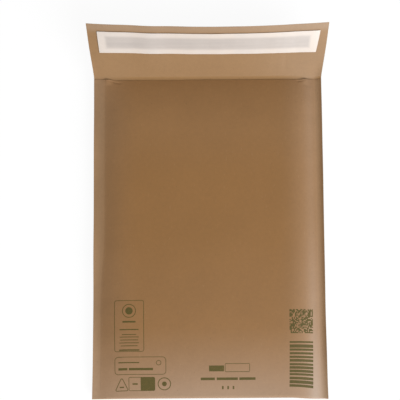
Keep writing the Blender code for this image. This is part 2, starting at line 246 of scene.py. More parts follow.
class EnvelopePrint(bpy.types.PropertyGroup):
    """The print on the front: x from the middle, v from the bottom fold."""

    stroke: length("Stroke", "Width of the thin outlines", 0.00045)
    ink_lift: length("Ink lift", "How far the ink's face lies off the paper", 0.00004)
    ink_sink: length("Ink underside", "How far its underside lies off the paper", 0.000016)
    left_edge: length("Left edge", "Left side of the left-hand marks", -0.0800)
    tall_width: length("Tall box width", "Width of the tall outlined box", 0.0245)
    tall_bottom: length("Tall box bottom", "Lower edge of the tall outlined box", 0.0380)
    tall_top: length("Tall box top", "Upper edge of the tall outlined box", 0.0812)
    wide_width: length("Wide box width", "Width of the wide outlined box", 0.0428)
    wide_bottom: length("Wide box bottom", "Lower edge of the wide outlined box", 0.0182)
    wide_top: length("Wide box top", "Upper edge of the wide outlined box", 0.0332)
    icon_bottom: length("Icons' bottom", "Lower edge of the row of signs", 0.0040)
    icon_top: length("Icons' top", "Upper edge of the row of signs", 0.0157)
    sign_left: length("Boxed sign, left", "From the left edge to the boxed sign", 0.0116)
    sign_split: length("Boxed sign, split", "From the left edge to its filled half", 0.0215)
    sign_right: length("Boxed sign, right", "From the left edge to its right side", 0.0334)
    middle_left: length("Middle left", "Left side of the middle marks", -0.0080)
    middle_width: length("Middle width", "Width of the middle marks", 0.0459)
    code_left: length("Code left", "Left side of the right-hand codes", 0.0666)
    code_width: length("Code width", "Width of the right-hand codes", 0.0203)
    code_top: length("Code top", "Upper edge of the square of blocks", 0.0729)
    code_cells: IntProperty(name="Cells", description="Blocks along each side of the square", default=22)
    code_fill: share("Code fill", "Share of the blocks that are inked", 0.60)
    bars_bottom: length("Bars' bottom", "Lower edge of the stack of bars", 0.0066)
    bars_top: length("Bars' top", "Upper edge of the stack of bars", 0.0458)
    seed: IntProperty(name="Seed", description="Seed of the blocks and bars", default=11)


class EnvelopeStudio(bpy.types.PropertyGroup):
    """The camera and the light."""

    camera_place: position("Camera", "Where the camera is", (-0.00762, 0.00146, 0.5214))
    camera_tilt: degrees("Tilt", "Towards the flap", 3.25)
    camera_roll: degrees("Roll", "About its own axis", 0.40)
    lens: number("Lens", "Focal length on a 36 mm frame", 54.0)
    fill: number("Fill", "Strength of the light from all round", 0.40)
    key_power: number("Key", "Power of the soft box, in watts", 70.0)
    key_size: length("Soft box", "Side of the soft box", 1.56)
    key_distance: length("Soft box distance", "From the envelope's middle to the soft box", 2.2)
    key_direction: position("Soft box direction", "Where the soft box is", (0.54, -0.56, 0.52))


# Shape of the envelope


def smooth_step(t):
    """0 to 1, level at both ends: 3 t squared less 2 t cubed."""
    t = np.clip(t, 0.0, 1.0)
    return t * t * (3 - 2 * t)


def ease_out(t, power):
    """0 to 1, steep at the start and level at the end: 1 less (1 - t) to that power."""
    return 1 - (1 - np.clip(t, 0.0, 1.0)) ** power


def bell(off, width):
    """1 where off is 0, and less to both sides: e to the power of minus the square of off / width."""
    return np.exp(-((off / width) ** 2))


def full_wall(s):
    """Thickness of one puffed panel: wrap, padding and liner with the gaps between them."""
    return s.wrap_sheet + s.pad_thickness + s.liner_sheet + 2 * s.layer_gap


def seam_depth(s):
    """Thickness of a side seam: both wraps, both liners, the glue and the gaps."""
    return 2 * (s.wrap_sheet + s.liner_sheet + 2 * s.layer_gap) + s.seam_glue


def fold_depth(s):
    """Thickness over the bottom fold: both panels and the gape."""
    return 2 * full_wall(s) + s.fold_gape


def body_depth(s):
    """Thickness over the puffed middle: both panels and the gape."""
    return 2 * full_wall(s) + s.pocket_gape


def mouth_depth(s):
    """Thickness at the mouth, which padding and liner stop short of: the wrap's two sheets and the gape."""
    return 2 * s.wrap_sheet + s.mouth_gape


def fullness(s, v):
    """Share of the full depth at v, leaving the mouth aside: it eases out from the fold's share to 1."""
    risen = (body_depth(s) - fold_depth(s)) * ease_out(v / s.bottom_rise, s.rise_power)
    return (fold_depth(s) + risen) / body_depth(s)


def mouth_share(s, v):
    """0 up to where the front starts to fall and 1 at the front's edge, as a square."""
    return np.clip(1 - (s.body_length - s.front_short - v) / s.mouth_fall, 0.0, 1.0) ** 2


def depth(s, v):
    """Thickness over the flat middle: the full depth's share, less the fall to the mouth's depth."""
    return body_depth(s) * fullness(s, v) - (body_depth(s) - mouth_depth(s)) * mouth_share(s, v)


def half_width(s, v):
    """Half the width from above: the sides draw in as the body rises from the fold."""
    return s.body_width / 2 - s.neck_in * ease_out(v / s.bottom_rise, s.rise_power)


def seam_depth_at(s, v):
    """The seam's thickness at v: past the glue and the liner it closes to the mouth's."""
    closing = smooth_step((v - s.body_length + s.liner_mouth_inset) / (s.liner_mouth_inset - s.front_short))
    return seam_depth(s) + (mouth_depth(s) - seam_depth(s)) * closing


def seam_line(s, x, v):
    """Width of the flat flange on the side of x: the left one grows in the lower half."""
    more = s.left_seam_more * smooth_step((v - LEFT_SEAM_START) / LEFT_SEAM_GROWTH)
    return s.seam_width + np.where(x < 0, more, -s.right_seam_less)


def puff(s, x, v):
    """0 on the seams, easing out to 1 over the flat middle.

    The distance from the seam's line is rounded off there, as half of itself and its hypotenuse with the
    rounding.
    """
    left = x < 0
    off = half_width(s, v) - seam_line(s, x, v) - np.abs(x)
    off = (off + np.hypot(off, np.where(left, s.left_seam_round, s.right_seam_round))) / 2
    slope = np.where(left, s.left_slope, s.right_slope)
    return ease_out(off / slope, np.where(left, s.left_power, s.right_power))


def half_depth(s, x, v):
    """Half the envelope's thickness: the seam's, raised towards the body's as the puff grows."""
    seam = seam_depth_at(s, v)
    return seam / 2 + (depth(s, v) - seam) / 2 * puff(s, x, v)


def hills(a, b, wavelength, seed, waves=14):
    """Smooth uneven ground of height about 1: a sum of plane cosine waves.

    Each wave has a seeded direction and phase, and a length within a third of the one asked for.
    """
    rng = np.random.default_rng(seed)
    turn = rng.uniform(0, FULL_TURN, waves)
    phase = rng.uniform(0, FULL_TURN, waves)
    rate = FULL_TURN / (wavelength * rng.uniform(0.75, 1.33, waves))
    total = np.zeros(np.broadcast(a, b).shape)
    for k in range(waves):
        total = total + np.cos(rate[k] * (a * math.cos(turn[k]) + b * math.sin(turn[k])) + phase[k])
    return total * math.sqrt(2.0 / waves)


def middle_height(s, r, x, v):
    """Height of the surface halfway between front and back.

    At the seams it is the seam's height, with the lift of its outer edge and a slow wave along it, which
    is highest there. Where the seam thins at the mouth only its back comes closer. It moves over to half
    the depth as the puff grows, and rises with the back's curl at the mouth.
    """
    left = x < 0
    out = np.clip(1 - (half_width(s, v) - np.abs(x)) / s.seam_width, 0.0, 1.0) ** 2
    wave = r.seam_wave * hills(v + 0 * x, np.where(left, 0.0, 0.5), r.seam_wave_length, SEAM_SEED)
    lift = np.where(left, s.left_seam_lift, s.right_seam_lift) * out + wave * (0.35 + 0.65 * out)
    seam = np.where(left, s.left_seam_height, s.right_seam_height) * fullness(s, v) + lift
    seam = seam + (seam_depth(s) - seam_depth_at(s, v)) / 2
    return seam + (depth(s, v) / 2 + s.mouth_lift * mouth_share(s, v) - seam) * puff(s, x, v)


def mouth_bow(s, x, v):
    """How far the front's rows draw back from the mouth: a bow in the middle and a bell by each slope."""
    place = half_width(s, v) - s.seam_width - s.pucker_place
    pucker = s.pucker_depth * bell(np.abs(x) - place, s.pucker_width)
    return s.mouth_bow * puff(s, x, v) * (v / s.body_length) ** 2 + pucker * mouth_share(s, v)


def from_segment(x, v, start, end):
    """Distance from the straight line between two places, and the share of the way along it, 0 to 1."""
    dx, dv = end[0] - start[0], end[1] - start[1]
    along = np.clip(((x - start[0]) * dx + (v - start[1]) * dv) / (dx * dx + dv * dv), 0.0, 1.0)
    return np.hypot(x - start[0] - along * dx, v - start[1] - along * dv), along


def corner_folds(s, r, x, v):
    """The small fold at each end of the mouth, and how the front's edge gapes beside it.

    The fold is a bell-shaped valley that deepens along its line. The edge's lift is a bell across, which
    dies out in a straight line down the front.
    """
    total = 0.0
    top = s.body_length - s.front_short
    near = np.clip(1 - (top - v) / CORNER_GAPE_REACH, 0.0, 1.0)
    for side, edge, reach, drop, gap in CORNER_FOLDS:
        total = total + r.corner_gape * near * bell(x - side * gap, CORNER_GAPE_WIDTH)
        away, along = from_segment(x, v, (side * edge, top), (side * (edge - reach), top - drop))
        total = total - r.corner_fold * along * bell(away, r.corner_fold_width)
    return total


def corner_drop(r, x, v):
    """How far the bottom right corner lies further down: it grows to the side and dies out up the body."""
    grown = smooth_step((x - CORNER_DROP_START) / CORNER_DROP_WIDTH)
    return r.corner_drop * grown * np.clip(1 - v / CORNER_DROP_HEIGHT, 0.0, 1.0) ** 2


def front_relief(s, r, x, v):
    """Height of the front's unevenness.

    Broad swells and small ripples over the puffed part, puckers across the slopes beside the seams, a
    pressed line along each seam and a fold at each end of the mouth. It fades out at the bottom fold.
    """
    middle = puff(s, x, v)
    swell = r.swell * hills(x, v, r.swell_length, SWELL_SEED)
    swell = swell + r.ripple * hills(x, v, r.ripple_length, RIPPLE_SEED)
    beside = 4 * middle * (1 - middle) * r.side_pucker
    puckers = beside * hills(v + 0 * x, 0.1 * x, r.side_pucker_length, PUCKER_SEED)
    off_seam = np.abs(x) - (half_width(s, v) - seam_line(s, x, v))
    groove = r.seam_groove * bell(off_seam, r.seam_groove_width)
    return (swell * middle + puckers - groove + corner_folds(s, r, x, v)) * smooth_step(v / ONSET)


def panel(s, r, x, v, depth_in, side):
    """Points of one panel, depth_in inside its outer face: side is 1 for the front and -1 for the back.

    Height is the middle surface plus or minus the half depth, and the front has its relief on top. Past
    the front's edge the back turns up in an arc, where the flap's crease starts.
    """
    turn = half_depth(s, x, 0.0)
    y = -s.body_length / 2 + turn + (s.body_length - turn) * v / s.body_length - corner_drop(r, x, v)
    z = middle_height(s, r, x, v) + side * (half_depth(s, x, v) - depth_in)
    if side > 0:
        y = y - mouth_bow(s, x, v)
        z = z + front_relief(s, r, x, v)
    else:
        past = np.maximum(v - (s.body_length - s.front_short), 0.0)
        y = y + s.crease_radius * np.sin(past / s.crease_radius) - past
        z = z + s.crease_radius * (1 - np.cos(past / s.crease_radius))
    return np.stack(np.broadcast_arrays(x, y, z), axis=-1)


def bottom_turn(s, r, x, angle, depth_in):
    """Points of the bottom fold: a half circle whose radius is the half depth less depth_in."""
    turn = half_depth(s, x, 0.0)
    y = -s.body_length / 2 + turn - (turn - depth_in) * np.cos(angle) - corner_drop(r, x, 0.0)
    z = middle_height(s, r, x, 0.0) + (turn - depth_in) * np.sin(angle)
    return np.stack(np.broadcast_arrays(x, y, z), axis=-1)


def flap(s, r, part, along, lift):
    """Points of the flap: an arc at the crease and then straight, part from -1 at its left to 1.

    The angle goes from each side's to the middle's as 1 less part squared, and the arc starts at the
    back's own slope. The mouth's curve gives way to the straight line between its two corners over the
    settling length. Lift is off the inner face's side of the sheet, with the flap's swells and two soft
    creases, which fade out at the crease.
    """
    half = float(half_width(s, s.body_length))
    x = part * half
    sheet = s.wrap_sheet / 2
    base = panel(s, r, x, s.body_length, sheet, -1)
    step = base - panel(s, r, x, s.body_length - 0.0001, sheet, -1)
    slope = np.arctan2(step[..., 2], step[..., 1])
    edge = np.where(part < 0, s.flap_angle_left, s.flap_angle_right)
    angle = edge + (s.flap_angle_middle - edge) * (1 - part**2)
    turned = slope + np.minimum(along / s.crease_radius, angle - slope)
    straight = np.maximum(along - s.crease_radius * (angle - slope), 0.0)
    corners = panel(s, r, np.array([-half, half]), s.body_length, sheet, -1)[:, 2]
    chord = corners[0] + (corners[1] - corners[0]) * (part + 1) / 2
    swell = r.flap_swell * hills(x + 0 * along, 0.35 * along, FLAP_SWELL_LENGTH, FLAP_SEED)
    fade = smooth_step((FLAP_CREASE_END - along) / FLAP_CREASE_FADE)
    for off_middle, lean in FLAP_CREASES:
        swell = swell - r.flap_crease * fade * bell(x - off_middle - lean * along, FLAP_CREASE_WIDTH)
    lift = lift + swell * smooth_step(along / ONSET)
    y = s.crease_setback * np.cos(slope) + s.crease_radius * (np.sin(turned) - np.sin(slope))
    z = s.crease_setback * np.sin(slope) + s.crease_radius * (np.cos(slope) - np.cos(turned))
    z = z + (chord - base[..., 2]) * smooth_step(along / s.flap_settle)
    y = y + straight * np.cos(angle) - lift * np.sin(turned)
    z = z + straight * np.sin(angle) + lift * np.cos(turned)
    wider = s.flap_flare * part * smooth_step(along / FLAP_FLARE_LENGTH)
    return base + np.stack(np.broadcast_arrays(wider, y, z), axis=-1)


def pad_space(s, x, v):
    """Room between wrap and liner: the gap in the seams, growing to hold the padding as the body opens.

    It closes again in a straight line from the padding's end to the mouth's border.
    """
    rise = (half_depth(s, x, v) - seam_depth(s) / 2) / ((fold_depth(s) - seam_depth(s)) / 2)
    end = (s.body_length - v - s.mouth_border) / (s.pad_mouth_inset - s.mouth_border)
    return s.layer_gap + (s.pad_thickness + s.layer_gap) * np.clip(rise, 0.0, 1.0) * np.clip(end, 0.0, 1.0)


# Grids


def spaced(*stretches):
    """Places from one stretch to the next: each is (start, end, step), and shared ends appear once."""
    parts = []
    for start, end, step in stretches:
        count = max(1, round(abs(end - start) / step))
        parts.append(np.linspace(start, end, count + 1)[1 if parts else 0:])
    return np.concatenate(parts)


def wrap_columns(s, side_inset):
    """Columns across the body, as x = a * half width + b: fine on the seams, their lines and the slopes."""
    sides = []
    for slope in (s.left_slope, s.right_slope):
        seam = s.seam_width
        sides.append(
            spaced(
                (side_inset, seam - 0.002, 0.0010),
                (seam - 0.002, seam + 0.0050, 0.0004),
                (seam + 0.0050, seam + 0.016, 0.0008),
                (seam + 0.016, seam + slope + 0.003, 0.0016),
            )
        )
    left, right = sides
    middle = np.linspace(0.0, 1.0, 46)[1:-1]
    a = np.concatenate([-np.ones(len(left)), 2 * middle - 1, np.ones(len(right))])
    b = np.concatenate([left, left[-1] * (1 - middle) - right[-1] * middle, -right[::-1]])
    return a, b


def across(s, columns, v):
    """The columns' x at each v, as a grid of rows by columns."""
    a, b = columns
    return a * half_width(s, v) + b


def folded(s, r, columns, rows, depth_in, back_rows):
    """A folded sheet's grid: down the front from the mouth, round the bottom fold and up the back.

    depth_in(x, v) is how far the sheet's middle lies inside the wrap's outer face. Also gives each point's
    place along the sheet, from the front's mouth edge.
    """
    front_v = rows[::-1, None]
    back_v = back_rows[:, None]
    angle = np.linspace(math.pi / 2, -math.pi / 2, TURN_ROWS + 2)[1:-1, None]
    x_front, x_turn, x_back = (across(s, columns, v) for v in (front_v, 0.0 * angle, back_v))
    points = np.concatenate(
        [
            panel(s, r, x_front, front_v, depth_in(x_front, front_v), 1),
            bottom_turn(s, r, x_turn, angle, depth_in(x_turn, 0.0 * angle)),
            panel(s, r, x_back, back_v, depth_in(x_back, back_v), -1),
        ]
    )
    bend = fold_depth(s) / 2
    place = [s.body_length - front_v, s.body_length + bend * (math.pi / 2 - angle)]
    place.append(s.body_length + bend * math.pi + back_v)
    return points, np.concatenate(place)[:, 0]


def front_rows(s, mouth_inset):
    """Rows from the bottom fold to the mouth, finer towards both."""
    top = s.body_length - mouth_inset
    return spaced(
        (0.0, 0.012, 0.0010),
        (0.012, s.bottom_rise, 0.0025),
        (s.bottom_rise, s.body_length - s.mouth_fall, 0.0035),
        (s.body_length - s.mouth_fall, s.body_length - 0.008, 0.0020),
        (s.body_length - 0.008, top, 0.00045),
    )


def coarse_rows(s, mouth_inset):
    """Rows for a back panel or an inner sheet."""
    top = s.body_length - mouth_inset
    return spaced((0.0, 0.012, 0.002), (0.012, s.bottom_rise, 0.004), (s.bottom_rise, top, 0.005))


def normals(grid):
    """Outward unit normals of a grid: the cross product of its steps down the rows and along them."""
    n = np.cross(np.gradient(grid, axis=0), np.gradient(grid, axis=1))
    return n / np.linalg.norm(n, axis=-1, keepdims=True)


def painted_sheen(s, x, v, along):
    """How much painted sheen the kraft has, 0 to 1, from the place on the body and along the flap: a pale
    tone that stands in for the soft box's reflection.

    The front's bottom has it, growing as a power towards the fold and less to the sides. The ridge by the
    right seam has a bell of it, stronger lower down. The flap's inner face has some all over, more by its
    right side and its edge.
    """
    to_fold = np.clip(1 - v / FOLD_SHEEN_REACH, 0.0, 1.0) ** 1.3
    front = FOLD_SHEEN * to_fold * (1 - 0.6 * np.abs(2 * x / s.body_width) ** 3)
    front = front + HIGH_SHEEN * smooth_step((v - 0.180) / 0.060)
    front = front + LOW_SHEEN * smooth_step((0.140 - v) / 0.060)
    off_side = half_width(s, v) - x
    down = np.clip(1 - v / LOW_RIDGE_REACH, 0.0, 1.0)
    front = front + (RIDGE_SHEEN + LOW_RIDGE_SHEEN * down) * bell(off_side - 0.0100, 0.0065)
    front = front + SLOPE_SHEEN * bell(off_side - 0.0200, 0.0120)
    front = front + LEFT_SHEEN * smooth_step(1 - (half_width(s, v) + x) / LEFT_SHEEN_REACH)
    to_right, to_edge = smooth_step((x - 0.020) / 0.070), smooth_step((along - 0.040) / 0.006)
    on_flap = FLAP_SHEEN + FLAP_RIGHT_SHEEN * to_right + FLAP_EDGE_SHEEN * to_edge
    return np.where(along > 0, on_flap, front)


def slab(outer, inner, closed=False):
    """Points and faces of a closed plate between two like grids, whose outer side faces out.

    A closed one runs round from its last row to its first.
    """
    rows, cols = outer.shape[:2]
    points = np.concatenate([outer.reshape(-1, 3), inner.reshape(-1, 3)])
    index = np.arange(rows * cols).reshape(rows, cols)
    if closed:
        index = np.vstack([index, index[:1]])
    under = index + rows * cols

    def quads(p, q, m, n):
        """Faces whose four corners are the like entries of four arrays."""
        return np.stack([p, q, m, n], axis=-1).reshape(-1, 4)

    faces = [
        quads(index[:-1, :-1], index[1:, :-1], index[1:, 1:], index[:-1, 1:]),
        quads(under[:-1, :-1], under[:-1, 1:], under[1:, 1:], under[1:, :-1]),
        quads(index[:-1, 0], under[:-1, 0], under[1:, 0], index[1:, 0]),
        quads(index[:-1, -1], index[1:, -1], under[1:, -1], under[:-1, -1]),
    ]
    if not closed:
        faces.append(quads(index[0, :-1], index[0, 1:], under[0, 1:], under[0, :-1]))
        faces.append(quads(index[-1, :-1], under[-1, :-1], under[-1, 1:], index[-1, 1:]))
    return points, np.concatenate(faces)


def put(name, data):
    """An object in the scene's own collection."""
    made = bpy.data.objects.new(name, data)
    bpy.context.scene.collection.objects.link(made)
    return made


def mesh_piece(name, plates, finish, stands_for=(), values=None):
    """One object from plates of points and faces, riding on the envelope's body."""
    points, faces, start = [], [], 0
    for plate_points, plate_faces in plates:
        points.append(plate_points)
        faces.append(plate_faces + start)
        start += len(plate_points)
    mesh = bpy.data.meshes.new(name)
    mesh.from_pydata(np.concatenate(points).tolist(), [], np.concatenate(faces).tolist())
    for label, numbers in (values or {}).items():
        mesh.attributes.new(label, "FLOAT", "POINT").data.foreach_set("value", numbers.astype(np.float32))
    mesh.materials.append(finish)
    mesh.shade_smooth()
    mesh.set_sharp_from_angle(angle=SHARP_ANGLE)
    mesh.update()
    made = put(name, mesh)
    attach(made, BODY)
    if stands_for:
        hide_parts(*stands_for)
    return made


def sheet_piece(name, grid, thickness, finish, node, values=None):
    """A sheet of paper of that thickness through a grid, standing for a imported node.

    Its points carry the values given, and 0 on its outer face and 1 on its inner one.
    """
    n = normals(grid) * thickness / 2
    doubled = {label: np.tile(numbers.reshape(-1), 2) for label, numbers in (values or {}).items()}
    doubled["inner"] = np.repeat([0.0, 1.0], grid[..., 0].size)
    return mesh_piece(name, [slab(grid + n, grid - n)], finish, (node,), doubled)


# Materials


def feed(tree, value, socket):
    """Gives an input a socket to follow, or a number, vector or colour of its own."""
    if isinstance(value, bpy.types.NodeSocket):
        tree.links.new(value, socket)
    elif socket.type == "RGBA":
        socket.default_value = (*value, 1.0)
    else:
        socket.default_value = value


def add(tree, kind, options=None, **inputs):
    """A node with its options, and what its inputs are fed. An input's name has _ for a space."""
    made = tree.nodes.new(kind)
    for key, value in (options or {}).items():
        setattr(made, key, value)
    for key, value in inputs.items():
        feed(tree, value, made.inputs[key.replace("_", " ")])
    return made


def maths(tree, operation, *values):
    """A Math node, whose values are sockets or numbers. Gives its output."""
    made = add(tree, "ShaderNodeMath", {"operation": operation})
    for socket, value in zip(made.inputs, values):
        feed(tree, value, socket)
    return made.outputs[0]


def weighted(tree, *terms):
    """The sum of each value times its weight."""
    total = 0.0
    for value, weight in terms:
        total = maths(tree, "MULTIPLY_ADD", value, weight, total)
    return total


def spread(tree, value, low, high, to_low=0.0, to_high=1.0):
    """Moves values from low..high to to_low..to_high, held at the ends. Gives its output."""
    ends = {"From_Min": low, "From_Max": high, "To_Min": to_low, "To_Max": to_high}
    return add(tree, "ShaderNodeMapRange", {"clamp": True}, Value=value, **ends).outputs["Result"]


def blend(tree, factor, a, b, how="MIX"):
    """Mixes two colours, each a socket or a colour. Gives its output."""
    made = add(tree, "ShaderNodeMix", {"data_type": "RGBA", "blend_type": how})
    for index, value in ((0, factor), (6, a), (7, b)):
        feed(tree, value, made.inputs[index])
    return made.outputs[2]


def own_place(tree):
    """The place on the object itself, which the textures follow."""
    return add(tree, "ShaderNodeTexCoord").outputs["Object"]


def noise(tree, place, scale, detail=3.0, rough=0.55):
    """A noise texture at a place. Gives its value."""
    made = add(tree, "ShaderNodeTexNoise", Vector=place, Scale=scale, Detail=detail, Roughness=rough)
    return made.outputs["Fac"]


def stretched(tree, place, scale):
    """A place with each of its directions scaled."""
    return add(tree, "ShaderNodeMapping", Vector=place, Scale=scale).outputs["Vector"]


def paper_stock():
    """The node group that all the papers share.

    It takes a colour and how mottled and fibrous the paper is. It puts out the colour with its clouds,
    flocks, long fibres and specks, a roughness, and a height in metres.
    """
    name = "paper stock"
    if name in bpy.data.node_groups:
        return bpy.data.node_groups[name]
    tree = bpy.data.node_groups.new(name, "ShaderNodeTree")
    taken = ("Colour", "Mottle", "Specks", "Roughness", "Grain")
    for way, labels in (("INPUT", taken), ("OUTPUT", ("Colour", "Roughness", "Height"))):
        for label in labels:
            kind = "NodeSocketColor" if label == "Colour" else "NodeSocketFloat"
            tree.interface.new_socket(label, in_out=way, socket_type=kind)
    given = add(tree, "NodeGroupInput").outputs
    place = own_place(tree)
    clouds = noise(tree, place, 26.0, 2.0)
    flocks = noise(tree, place, 330.0, 4.0, 0.6)
    down = noise(tree, stretched(tree, place, (1.0, 0.16, 0.5)), 1500.0, 3.0, 0.65)
    sideways = noise(tree, stretched(tree, place, (0.22, 1.0, 0.5)), 1100.0, 2.0, 0.6)
    fine = noise(tree, place, 3600.0, 2.0, 0.6)
    fibres = weighted(tree, (down, 0.6), (sideways, 0.4))

    tone = spread(tree, weighted(tree, (clouds, 0.30), (flocks, 0.35), (fibres, 0.35)), 0.30, 0.70, -1.0, 1.0)
    gain = maths(tree, "MULTIPLY_ADD", tone, given["Mottle"], 1.0)
    toned = add(tree, "ShaderNodeVectorMath", {"operation": "SCALE"}, Scale=gain)
    feed(tree, given["Colour"], toned.inputs[0])
    toned = toned.outputs[0]
    dots = stretched(tree, place, (1.0, 0.55, 1.0))
    dots = add(tree, "ShaderNodeTexVoronoi", Vector=dots, Scale=520.0, Randomness=1.0).outputs["Distance"]
    rare = spread(tree, noise(tree, place, 410.0, 1.0), 0.60, 0.66)
    specks = maths(tree, "MULTIPLY", spread(tree, dots, 0.05, 0.22, 1.0, 0.0), rare)
    specks = maths(tree, "MULTIPLY", specks, given["Specks"])
    spotted = blend(tree, specks, toned, blend(tree, 1.0, toned, (0.42, 0.36, 0.30), "MULTIPLY"))
    pale = noise(tree, stretched(tree, place, (1.0, 0.25, 1.0)), 900.0, 1.0)
    pale = maths(tree, "MULTIPLY", spread(tree, pale, 0.70, 0.78, 0.0, 0.14), given["Specks"])

    rough = maths(tree, "MULTIPLY_ADD", maths(tree, "SUBTRACT", flocks, 0.5), 0.16, given["Roughness"])
    relief = weighted(tree, (fibres, 0.55), (fine, 0.25), (flocks, 0.45))
    height = maths(tree, "MULTIPLY", relief, given["Grain"])
    colour_out = blend(tree, pale, spotted, (0.62, 0.46, 0.30))
    add(tree, "NodeGroupOutput", Colour=colour_out, Roughness=rough, Height=height)
    return tree


def new_material(name):
    """A material on a Principled shader. Gives it, its tree and the shader."""
    made = bpy.data.materials.new(name)
    made.use_nodes = True
    return made, made.node_tree, made.node_tree.nodes.get("Principled BSDF")


def bumped(tree, shader, height, distance):
    """Makes a shader's normal follow a height, in units of the distance."""
    bump = add(tree, "ShaderNodeBump", Strength=1.0, Distance=distance, Height=height)
    feed(tree, bump.outputs["Normal"], shader.inputs["Normal"])


def paper_material(name, base, mottle, specks, roughness, grain=0.00003, specular=0.5):
    """A paper: the shared stock on a Principled shader.

    base is a colour, or a function that takes the tree and gives a colour socket.
    """
    made, tree, shader = new_material(name)
    kinds = {"Mottle": mottle, "Specks": specks, "Roughness": roughness, "Grain": grain}
    ground = base(tree) if callable(base) else base
    stock = add(tree, "ShaderNodeGroup", {"node_tree": paper_stock()}, Colour=ground, **kinds).outputs
    for label, value in (
        ("Base Color", stock["Colour"]), ("Roughness", stock["Roughness"]), ("Specular IOR Level", specular)
    ):
        feed(tree, value, shader.inputs[label])
    bumped(tree, shader, stock["Height"], 1.0)
    return made


def surface_value(tree, label):
    """A value that the piece's mesh carries."""
    return add(tree, "ShaderNodeAttribute", {"attribute_name": label}).outputs["Fac"]


def kraft_material(c):
    """The outer kraft: paler on the pressed seams, whose tone also paints some sheen there, paler with
    painted sheen where the soft box's reflection falls, and worn along folds and cut edges.
    """

    def base(tree):
        # The seams' pressed tone, which also paints some sheen on the flanges
        pressed = blend(tree, surface_value(tree, "pressed"), c.kraft, c.pressed_and_sheen_kraft)
        faced = blend(tree, surface_value(tree, "inner"), pressed, c.inner_kraft)
        # Painted sheen: a pale tone laid on in place of the soft box's reflection
        with_painted_sheen = blend(tree, surface_value(tree, "painted_sheen"), faced, c.painted_sheen_kraft)
        patchy = spread(tree, noise(tree, own_place(tree), 240.0, 4.0, 0.65), 0.36, 0.62)
        wear = maths(tree, "MULTIPLY", surface_value(tree, "worn"), patchy)
        return blend(tree, wear, with_painted_sheen, c.worn_kraft)

    return paper_material("kraft paper", base, mottle=0.09, specks=0.4, roughness=0.62, specular=0.25)


def release_material(c):
    """The release strip: smooth pale paper, greyer and streaked where the adhesive shows through."""

    def base(tree):
        place = own_place(tree)
        streaks = noise(tree, stretched(tree, place, (0.03, 1.0, 1.0)), 420.0, 3.0, 0.6)
        broad = noise(tree, stretched(tree, place, (1.0, 0.08, 0.08)), 60.0, 2.0, 0.5)
        uneven = spread(tree, weighted(tree, (streaks, 0.5), (broad, 0.5)), 0.32, 0.62, 0.72, 1.0)
        band = maths(tree, "MULTIPLY", surface_value(tree, "band"), uneven)
        tinted = blend(tree, spread(tree, broad, 0.35, 0.65), c.release, c.release_warm)
        return blend(tree, band, tinted, c.release_band)

    return paper_material("release paper", base, mottle=0.03, specks=0.0, roughness=0.42, grain=0.00001)


def plain_paper_material(name, base, roughness):
    """A paper of one colour, coarser than the outer kraft."""
    return paper_material(name, base, mottle=0.14, specks=0.7, roughness=roughness, grain=0.00004)


def ink_material(c):
    """Ink soaked into kraft: it follows the paper's fibres and lets a little of the kraft through."""

    def base(tree):
        thin = spread(tree, noise(tree, own_place(tree), 1300.0, 3.0, 0.7), 0.52, 0.74, 0.0, 0.40)
        return blend(tree, thin, c.ink, c.kraft)

    return paper_material("printing ink", base, mottle=0.14, specks=0.1, roughness=0.65, specular=0.2)


def glue_material(name, base, roughness):
    """Dried glue or soft adhesive: slightly clouded and uneven."""
    made, tree, shader = new_material(name)
    clouds = noise(tree, own_place(tree), 220.0, 4.0, 0.6)
    darker = [0.82 * part for part in base]
    clouded = blend(tree, spread(tree, clouds, 0.35, 0.65), darker, base)
    feed(tree, clouded, shader.inputs["Base Color"])
    feed(tree, spread(tree, clouds, 0.3, 0.7, roughness - 0.06, roughness + 0.08), shader.inputs["Roughness"])
    bumped(tree, shader, clouds, 0.00005)
    return made


def seen_directly(tree):
    """1 for rays from the camera, and for those that gloss or glass sends on."""
    path = add(tree, "ShaderNodeLightPath").outputs
    gloss = maths(tree, "MAXIMUM", path["Is Glossy Ray"], path["Is Transmission Ray"])
    return maths(tree, "MAXIMUM", path["Is Camera Ray"], gloss)


def floor_material():
    """Matt white, lifted to full white where it is looked at, so that the object's shadow stays faint."""
    made, tree, shader = new_material("studio floor")
    tree.nodes.remove(shader)
    mixed = add(tree, "ShaderNodeMixShader", Fac=maths(tree, "MULTIPLY", seen_directly(tree), 0.90))
    matt = add(tree, "ShaderNodeBsdfDiffuse", Color=(0.80, 0.80, 0.80))
    bright = add(tree, "ShaderNodeEmission", Color=(1.0, 1.0, 1.0), Strength=1.03)
    feed(tree, matt.outputs[0], mixed.inputs[1])
    feed(tree, bright.outputs[0], mixed.inputs[2])
    feed(tree, mixed.outputs[0], tree.nodes["Material Output"].inputs["Surface"])
    return made


def set_world(scene, fill):
    """White where it is seen, and a soft fill for the light it gives."""
    scene.world = bpy.data.worlds.new("studio")
    scene.world.use_nodes = True
    tree = scene.world.node_tree
    back = tree.nodes["Background"].inputs
    feed(tree, (1.0, 1.0, 1.0), back["Color"])
    feed(tree, spread(tree, seen_directly(tree), 0.0, 1.0, fill, 1.0), back["Strength"])


# Print: every mark is a thin plate of ink that follows the front


def on_front(s, r, x, v, lift):
    """Points on the front's outer face, lifted off it along its normal.

    The normal is the cross product of its steps over a millimetre across and along.
    """
    step = 0.0005
    base = panel(s, r, x, v, 0.0, 1)
    along_x = panel(s, r, x + step, v, 0.0, 1) - panel(s, r, x - step, v, 0.0, 1)
    along_v = panel(s, r, x, v + step, 0.0, 1) - panel(s, r, x, v - step, 0.0, 1)
    n = np.cross(along_x, along_v)
    return base + lift * n / np.linalg.norm(n, axis=-1, keepdims=True)


